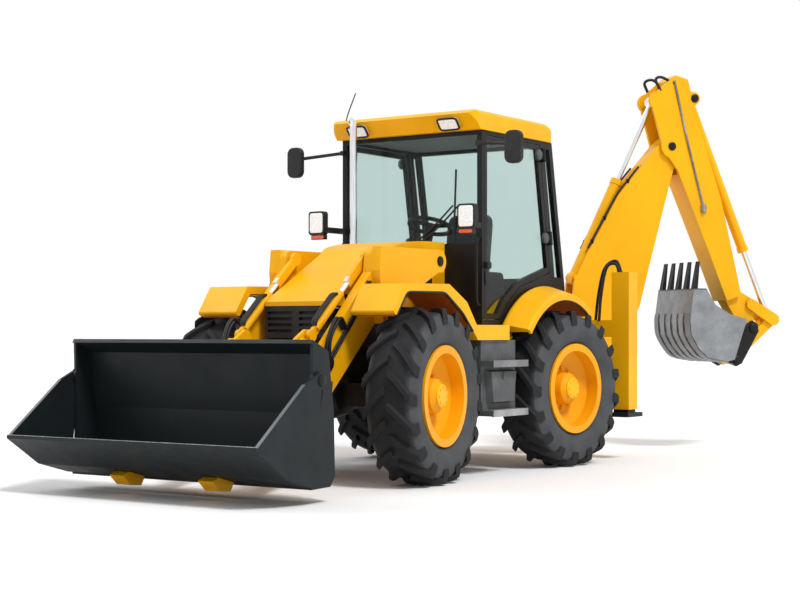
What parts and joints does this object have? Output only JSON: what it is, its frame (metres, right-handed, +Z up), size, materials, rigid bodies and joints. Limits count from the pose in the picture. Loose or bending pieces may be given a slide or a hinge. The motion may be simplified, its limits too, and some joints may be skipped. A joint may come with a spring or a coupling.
{
  "type": "backhoe loader",
  "caption": "Four-wheel-steer backhoe loader with a two-piece loader bucket on lift arms, a glazed cab and a side-shifting backhoe folded for travel.",
  "frame": {"origin": "on the ground under the middle of the rear axle", "axes": "+X forward, +Y to the machine's left, +Z up"},
  "size_m": [8.1398, 2.8966, 3.8258],
  "materials": {
    "yellow": "gloss enamel",
    "orange_yellow": "gloss enamel",
    "charcoal": "satin enamel",
    "black": "satin enamel",
    "black_plastic": "textured",
    "grey_steel": "worn",
    "chrome": "polished",
    "tyre": "matte",
    "glass": "tinted",
    "fabric": "woven",
    "lamp": "clear",
    "cast": "painted"
  },
  "bodies": {
    "chassis": {"chassis_frame": "charcoal", "rear_frame": "yellow", "engine_block": "cast", "front_axle": "black", "rear_axle": "black", "grille": "black_plastic", "exhaust_stack": "chrome", "cab_frame": "black", "cab_roof": "yellow", "cab_glass": "glass", "driver_seat": "fabric", "steering_column": "black_plastic", "front_fenders": "yellow", "rear_fenders": "yellow", "step_boxes": "black_plastic", "front_lamps": "lamp", "mirrors": "black_plastic", "roof_lamps": "lamp"},
    "hood": {"hood": "yellow"},
    "door_left": {"door_frame_left": "black", "door_glass_left": "glass"},
    "door_right": {"door_frame_right": "black", "door_glass_right": "glass"},
    "loader": {"loader_arms": "yellow"},
    "bucket": {"bucket_back": "charcoal"},
    "clam": {"bucket_clam": "charcoal"},
    "lift_barrels": {"lift_ram_barrels": "yellow"},
    "lift_rods": {"lift_ram_rods": "chrome"},
    "cranks": {"bell_cranks": "yellow"},
    "links": {"tipping_links": "yellow"},
    "crowd_rods": {"crowd_ram_rods": "chrome"},
    "crowd_barrels": {"crowd_ram_barrels": "yellow"},
    "carriage": {"hoe_carriage": "yellow"},
    "kingpost": {"kingpost": "yellow"},
    "boom": {"boom": "yellow"},
    "dipper": {"dipper": "yellow"},
    "dig_bucket": {"dig_bucket": "grey_steel"},
    "boom_barrel": {"boom_ram_barrel": "yellow"},
    "boom_rod": {"boom_ram_rod": "chrome"},
    "dipper_barrel": {"dipper_ram_barrel": "yellow"},
    "dipper_rod": {"dipper_ram_rod": "chrome"},
    "dig_barrel": {"bucket_ram_barrel": "yellow"},
    "dig_rod": {"bucket_ram_rod": "chrome"},
    "lever": {"tipping_lever": "yellow"},
    "dig_link": {"dig_link": "yellow"},
    "leg_left": {"stabiliser_leg_left": "charcoal"},
    "leg_right": {"stabiliser_leg_right": "charcoal"},
    "knuckle_front_left": {"knuckle_front_left": "black"},
    "wheel_front_left": {"rim_front_left": "orange_yellow", "tyre_front_left": "tyre"},
    "knuckle_front_right": {"knuckle_front_right": "black"},
    "wheel_front_right": {"rim_front_right": "orange_yellow", "tyre_front_right": "tyre"},
    "knuckle_rear_left": {"knuckle_rear_left": "black"},
    "wheel_rear_left": {"rim_rear_left": "orange_yellow", "tyre_rear_left": "tyre"},
    "knuckle_rear_right": {"knuckle_rear_right": "black"},
    "wheel_rear_right": {"rim_rear_right": "orange_yellow", "tyre_rear_right": "tyre"}
  },
  "joints": [
    {"name": "hood_lift", "type": "hinge", "parent": "chassis", "child": "hood", "pos_m": [2.645, 0, 1.4], "axis": [0, -1, 0], "range_deg": [-55, 0]},
    {"name": "door_left_swing", "type": "hinge", "parent": "chassis", "child": "door_left", "pos_m": [-0.136, 0.764, 2.051], "axis": [0.164, 0, 0.9865], "range_deg": [0, 80]},
    {"name": "door_right_swing", "type": "hinge", "parent": "chassis", "child": "door_right", "pos_m": [-0.136, -0.764, 2.051], "axis": [-0.164, 0, -0.9865], "range_deg": [0, 80]},
    {"name": "steer_front_left", "type": "hinge", "parent": "chassis", "child": "knuckle_front_left", "pos_m": [2.22, 0.76, 0.695], "axis": [0, 0, 1], "range_deg": [-28, 12]},
    {"name": "spin_front_left", "type": "hinge", "parent": "knuckle_front_left", "child": "wheel_front_left", "pos_m": [2.22, 0.76, 0.695], "axis": [-0.1392, 0.9903, 0], "continuous": true},
    {"name": "steer_front_right", "type": "hinge", "parent": "chassis", "child": "knuckle_front_right", "pos_m": [2.22, -0.76, 0.695], "axis": [0, 0, 1], "range_deg": [-28, 12]},
    {"name": "spin_front_right", "type": "hinge", "parent": "knuckle_front_right", "child": "wheel_front_right", "pos_m": [2.22, -0.76, 0.695], "axis": [-0.1392, 0.9903, 0], "continuous": true},
    {"name": "steer_rear_left", "type": "hinge", "parent": "chassis", "child": "knuckle_rear_left", "pos_m": [0, 0.76, 0.695], "axis": [0, 0, 1], "range_deg": [-14, 26]},
    {"name": "spin_rear_left", "type": "hinge", "parent": "knuckle_rear_left", "child": "wheel_rear_left", "pos_m": [0, 0.76, 0.695], "axis": [0.1045, 0.9945, 0], "continuous": true},
    {"name": "steer_rear_right", "type": "hinge", "parent": "chassis", "child": "knuckle_rear_right", "pos_m": [0, -0.76, 0.695], "axis": [0, 0, 1], "range_deg": [-14, 26]},
    {"name": "spin_rear_right", "type": "hinge", "parent": "knuckle_rear_right", "child": "wheel_rear_right", "pos_m": [0, -0.76, 0.695], "axis": [0.1045, 0.9945, 0], "continuous": true},
    {"name": "loader_lift", "type": "hinge", "parent": "chassis", "child": "loader", "pos_m": [1.4, 0, 1.79], "axis": [0, -1, 0], "range_deg": [-3, 73]},
    {"name": "bucket_crowd", "type": "hinge", "parent": "loader", "child": "bucket", "pos_m": [3.56, 0, 0.185], "axis": [0, -1, 0], "range_deg": [-80, 12]},
    {"name": "clam_open", "type": "hinge", "parent": "bucket", "child": "clam", "pos_m": [3.853, 0, 0.859], "axis": [0, -1, 0], "range_deg": [0, 60]},
    {"name": "lift_barrel_swing", "type": "hinge", "parent": "chassis", "child": "lift_barrels", "pos_m": [1.5, 0, 0.7], "axis": [0, -1, 0], "range_deg": [-5, 32]},
    {"name": "lift_rod_slide", "type": "slide", "parent": "lift_barrels", "child": "lift_rods", "axis": [0.6567, 0, 0.7542], "range_m": [-0.05, 0.8]},
    {"name": "crank_swing", "type": "hinge", "parent": "loader", "child": "cranks", "pos_m": [2.85, 0, 0.96], "axis": [0, -1, 0], "range_deg": [-65, 12]},
    {"name": "link_swing", "type": "hinge", "parent": "cranks", "child": "links", "pos_m": [3, 0, 1.107], "axis": [0, -1, 0], "range_deg": [-14, 72]},
    {"name": "crowd_rod_swing", "type": "hinge", "parent": "loader", "child": "crowd_rods", "pos_m": [2.185, 0, 1.801], "axis": [0, -1, 0], "range_deg": [-4, 4]},
    {"name": "crowd_barrel_slide", "type": "slide", "parent": "crowd_rods", "child": "crowd_barrels", "axis": [0.7475, 0, -0.6643], "range_m": [-0.04, 0.225]},
    {"name": "hoe_sideshift", "type": "slide", "parent": "chassis", "child": "carriage", "axis": [0, 1, 0], "range_m": [-0.5, 0.5]},
    {"name": "hoe_slew", "type": "hinge", "parent": "carriage", "child": "kingpost", "pos_m": [-1.36, 0, 0.9], "axis": [0, 0, -1], "range_deg": [-128.5, 56.5]},
    {"name": "boom_swing", "type": "hinge", "parent": "kingpost", "child": "boom", "pos_m": [-1.62698, 0.19397, 0.9], "axis": [0.5878, 0.809, 0], "range_deg": [-120, 0]},
    {"name": "dipper_swing", "type": "hinge", "parent": "boom", "child": "dipper", "pos_m": [-2.47483, 0.80997, 3.097], "axis": [-0.5878, -0.809, 0], "range_deg": [-95, 0]},
    {"name": "dig_bucket_curl", "type": "hinge", "parent": "dipper", "child": "dig_bucket", "pos_m": [-3.22074, 1.35191, 1.241], "axis": [-0.5878, -0.809, 0], "range_deg": [-120, 0]},
    {"name": "boom_barrel_swing", "type": "hinge", "parent": "kingpost", "child": "boom_barrel", "pos_m": [-1.59057, 0.16752, 1.11], "axis": [0.5878, 0.809, 0], "range_deg": [-122, 2]},
    {"name": "boom_rod_slide", "type": "slide", "parent": "boom_barrel", "child": "boom_rod", "axis": [-0.4594, 0.3338, 0.8231], "range_m": [-0.02, 0.4]},
    {"name": "dipper_barrel_swing", "type": "hinge", "parent": "boom", "child": "dipper_barrel", "pos_m": [-1.62698, 0.19397, 1.739], "axis": [0.5878, 0.809, 0], "range_deg": [-4, 6]},
    {"name": "dipper_rod_slide", "type": "slide", "parent": "dipper_barrel", "child": "dipper_rod", "axis": [-0.3549, 0.2579, 0.8986], "range_m": [-0.75, 0.01]},
    {"name": "lever_swing", "type": "hinge", "parent": "dipper", "child": "lever", "pos_m": [-3.24501, 1.36954, 1.49], "axis": [-0.5878, -0.809, 0], "range_deg": [-120, 2]},
    {"name": "dig_link_swing", "type": "hinge", "parent": "lever", "child": "dig_link", "pos_m": [-3.46344, 1.52824, 1.33], "axis": [-0.5878, -0.809, 0], "range_deg": [-2, 40]},
    {"name": "dig_barrel_swing", "type": "hinge", "parent": "dipper", "child": "dig_barrel", "pos_m": [-2.68679, 0.96397, 3.6], "axis": [-0.5878, -0.809, 0], "range_deg": [-4, 4]},
    {"name": "dig_rod_slide", "type": "slide", "parent": "dig_barrel", "child": "dig_rod", "axis": [-0.3151, 0.2289, -0.921], "range_m": [-0.56, 0.01]},
    {"name": "leg_left_slide", "type": "slide", "parent": "chassis", "child": "leg_left", "axis": [0, 0, 1], "range_m": [-0.55, 0]},
    {"name": "leg_right_slide", "type": "slide", "parent": "chassis", "child": "leg_right", "axis": [0, 0, 1], "range_m": [-0.55, 0]}
  ],
  "couplings": [
    {"joint": "steer_front_right", "follows": "steer_front_left", "ratio": 1},
    {"joint": "steer_rear_right", "follows": "steer_rear_left", "ratio": 1},
    {"joint": "lift_barrel_swing", "follows": "loader_lift", "ratio": 0.372},
    {"joint": "lift_rod_slide", "follows": "loader_lift", "m_per_rad": 0.62},
    {"joint": "crank_swing", "follows": "bucket_crowd", "ratio": 0.72},
    {"joint": "link_swing", "follows": "bucket_crowd", "ratio": -0.8},
    {"joint": "crowd_rod_swing", "follows": "bucket_crowd", "ratio": -0.02},
    {"joint": "crowd_barrel_slide", "follows": "bucket_crowd", "m_per_rad": -0.145},
    {"joint": "boom_barrel_swing", "follows": "boom_swing", "ratio": 1},
    {"joint": "boom_rod_slide", "follows": "boom_swing", "m_per_rad": -0.182},
    {"joint": "dipper_barrel_swing", "follows": "dipper_swing", "ratio": -0.03},
    {"joint": "dipper_rod_slide", "follows": "dipper_swing", "m_per_rad": 0.44},
    {"joint": "lever_swing", "follows": "dig_bucket_curl", "ratio": 0.8},
    {"joint": "dig_link_swing", "follows": "dig_bucket_curl", "ratio": -0.18},
    {"joint": "dig_barrel_swing", "follows": "dig_bucket_curl", "ratio": 0.02},
    {"joint": "dig_rod_slide", "follows": "dig_bucket_curl", "m_per_rad": 0.225}
  ]
}
